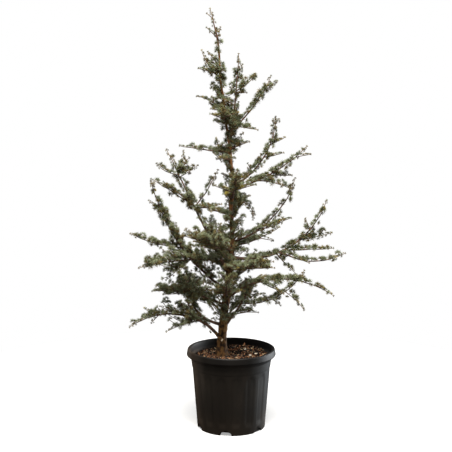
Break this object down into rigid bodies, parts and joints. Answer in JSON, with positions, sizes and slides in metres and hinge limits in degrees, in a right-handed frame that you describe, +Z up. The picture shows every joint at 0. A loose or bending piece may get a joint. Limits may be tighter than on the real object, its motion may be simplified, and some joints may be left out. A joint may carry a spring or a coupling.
{
  "type": "potted cedar tree",
  "caption": "Young evergreen cedar with a slender leaning trunk, arching boughs and tufted needles, standing in a tapered round nursery pot of bark mulch.",
  "frame": {"origin": "middle of the pot's flat underside, on the ground", "axes": "+Z up the tree, the pot's underside faces -Z, and +Y points away from the side that is seen first, with +X to its right"},
  "size_m": [0.8992, 0.6878, 1.743],
  "materials": {
    "pot": "semi-matt black moulded plastic, dusty",
    "soil": "loose brown bark chips and fibre",
    "bark": "rough scaly brown bark",
    "needles": "grey-green to blue-green short needles"
  },
  "bodies": {
    "root": {"bough_arching_right": "bark", "bough_forked_right": "bark", "bough_front_left": "bark", "bough_front_right": "bark", "bough_level_left": "bark", "bough_long_left": "bark", "bough_low_back": "bark", "bough_low_left": "bark", "bough_low_right": "bark", "bough_lowest_back_left": "bark", "bough_lowest_back_right": "bark", "bough_lowest_left": "bark", "bough_reaching_right": "bark", "bough_rising_right": "bark", "bough_swept_right": "bark", "bough_tall_left": "bark", "foliage_arching_right": "needles", "foliage_drooping_right": "needles", "foliage_forked_right": "needles", "foliage_front_left": "needles", "foliage_front_low": "needles", "foliage_front_lowest_twig": "needles", "foliage_front_middle": "needles", "foliage_front_right": "needles", "foliage_high_back": "needles", "foliage_high_back_bough": "needles", "foliage_high_front": "needles", "foliage_high_left": "needles", "foliage_high_left_twig": "needles", "foliage_high_right": "needles", "foliage_leader": "needles", "foliage_level_left": "needles", "foliage_long_left": "needles", "foliage_low_back": "needles", "foliage_low_left": "needles", "foliage_low_right": "needles", "foliage_low_right_back": "needles", "foliage_lowest_back_left": "needles", "foliage_lowest_back_right": "needles", "foliage_lowest_left": "needles", "foliage_middle_back": "needles", "foliage_middle_front_twig": "needles", "foliage_middle_left": "needles", "foliage_middle_left_twig": "needles", "foliage_middle_right_twig": "needles", "foliage_reaching_right": "needles", "foliage_right_back": "needles", "foliage_rising_right": "needles", "foliage_second_leader": "needles", "foliage_straight_left": "needles", "foliage_swept_right": "needles", "foliage_tall_left": "needles", "foliage_top_left": "needles", "foliage_top_left_back": "needles", "foliage_top_left_upper": "needles", "foliage_upturned_left": "needles", "pot": "pot", "soil": "soil", "trunk": "bark"}
  },
  "joints": []
}
